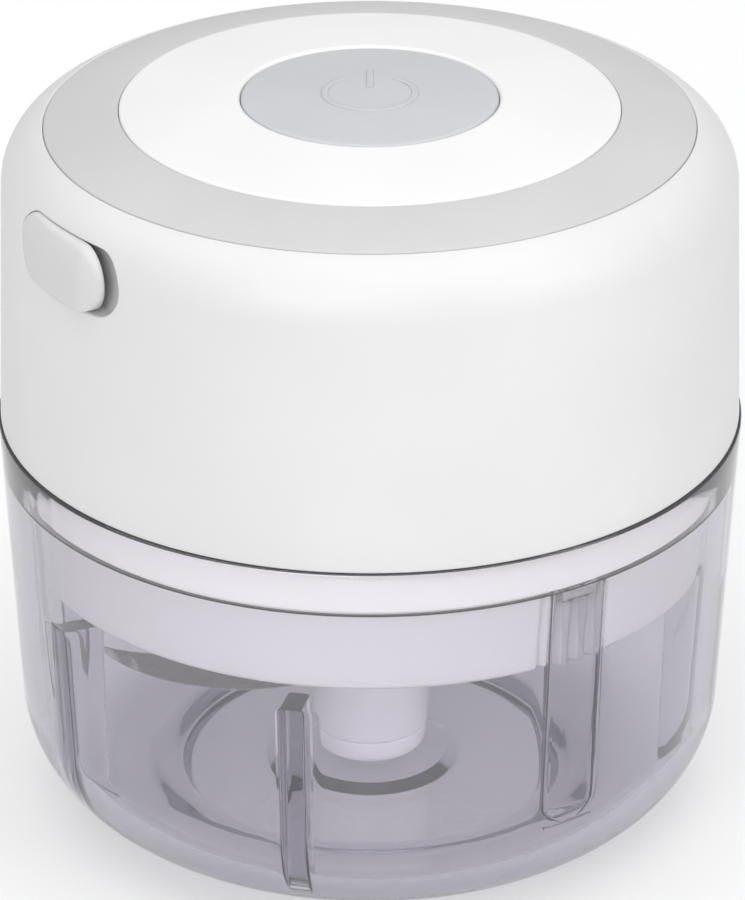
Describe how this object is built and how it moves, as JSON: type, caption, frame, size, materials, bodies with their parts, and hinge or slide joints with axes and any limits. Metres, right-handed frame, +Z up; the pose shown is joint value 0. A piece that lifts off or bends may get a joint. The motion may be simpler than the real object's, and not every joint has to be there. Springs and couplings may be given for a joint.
{
  "type": "mini food processor",
  "caption": "Cordless mini food processor: a motor head with a push button drops into a clear ribbed bowl with a magnet interlock and a bladed hub on a centre pin.",
  "frame": {"origin": "centre of the bowl's base, on the surface it stands on", "axes": "+Z up along the bowl's axis, -Y towards the bowl's key rib and magnet, -X towards the charging port"},
  "size_m": [0.0876, 0.0876, 0.0887],
  "materials": {
    "clear_polycarbonate": "clear, faint cool tint, polished",
    "white_abs": "satin white",
    "grey_trim": "soft satin grey",
    "grey_button": "soft satin blue-grey",
    "plug_rubber": "soft matte light grey",
    "pearl_abs": "polished pearl white",
    "nylon": "natural white",
    "blade_steel": "ground",
    "zinc_steel": "zinc plated",
    "nickel": "nickel plated",
    "brass_bush": "sintered",
    "copper_winding": "lacquered copper",
    "ferrite": "matte dark grey",
    "black_plastic": "moulded",
    "seal_rubber": "matte",
    "board_green": "solder mask",
    "cell_wrap": "shrink sleeve",
    "red_lead": "insulation",
    "black_lead": "insulation",
    "grey_lead": "insulation"
  },
  "bodies": {
    "bowl": {"bowl": "clear_polycarbonate", "interlock_magnet": "nickel", "spindle_pin": "blade_steel", "thrust_washer": "blade_steel"},
    "blade_set": {"hub_foot": "pearl_abs", "blade_hub": "pearl_abs", "hub_bush": "brass_bush", "blade_lower": "blade_steel", "blade_spacer": "blade_steel", "blade_upper": "blade_steel", "hub_cap": "pearl_abs"},
    "head": {"top_housing": "white_abs", "accent_ring": "grey_trim", "top_cap": "white_abs", "base_cover": "white_abs", "shaft_seal": "seal_rubber", "housing_screw_1": "zinc_steel", "housing_screw_2": "zinc_steel", "housing_screw_3": "zinc_steel", "motor_bracket": "zinc_steel", "bracket_screw_1": "zinc_steel", "bracket_screw_2": "zinc_steel", "motor_screw_1": "zinc_steel", "motor_screw_2": "zinc_steel", "motor_can": "zinc_steel", "motor_end_bell": "black_plastic", "motor_bush_lower": "brass_bush", "motor_bush_upper": "brass_bush", "field_magnet_1": "ferrite", "field_magnet_2": "ferrite", "battery_cell": "cell_wrap", "battery_cradle": "black_plastic", "control_board": "board_green", "board_screw_1": "zinc_steel", "board_screw_2": "zinc_steel", "tact_switch": "black_plastic", "charge_socket": "nickel", "interlock_sensor": "black_plastic", "motor_lead_red": "red_lead", "motor_lead_black": "black_lead", "battery_lead_red": "red_lead", "battery_lead_black": "black_lead", "sensor_lead": "grey_lead"},
    "rotor": {"motor_shaft": "blade_steel", "armature": "copper_winding", "commutator": "copper_winding", "drive_coupler": "nylon"},
    "button": {"power_button": "grey_button", "switch_plunger": "black_plastic"},
    "port_plug": {"port_plug": "plug_rubber"}
  },
  "joints": [
    {"name": "head_lift", "type": "slide", "parent": "bowl", "child": "head", "axis": [0, 0, 1], "range_m": [0, 0.07]},
    {"name": "blade_spin", "type": "hinge", "parent": "bowl", "child": "blade_set", "pos_m": [0, 0, 0.0192], "axis": [0, 0, 1], "continuous": true},
    {"name": "rotor_spin", "type": "hinge", "parent": "head", "child": "rotor", "pos_m": [0, 0, 0.0312], "axis": [0, 0, 1], "continuous": true},
    {"name": "button_press", "type": "slide", "parent": "head", "child": "button", "axis": [0, 0, -1], "range_m": [0, 0.0012], "stiffness_N_per_m": 600},
    {"name": "port_hinge", "type": "hinge", "parent": "head", "child": "port_plug", "pos_m": [-0.04155, 0.0076, 0.0783], "axis": [0, 0, -1], "range_deg": [0, 110]}
  ],
  "couplings": [
    {"joint": "rotor_spin", "follows": "blade_spin", "ratio": 1}
  ]
}
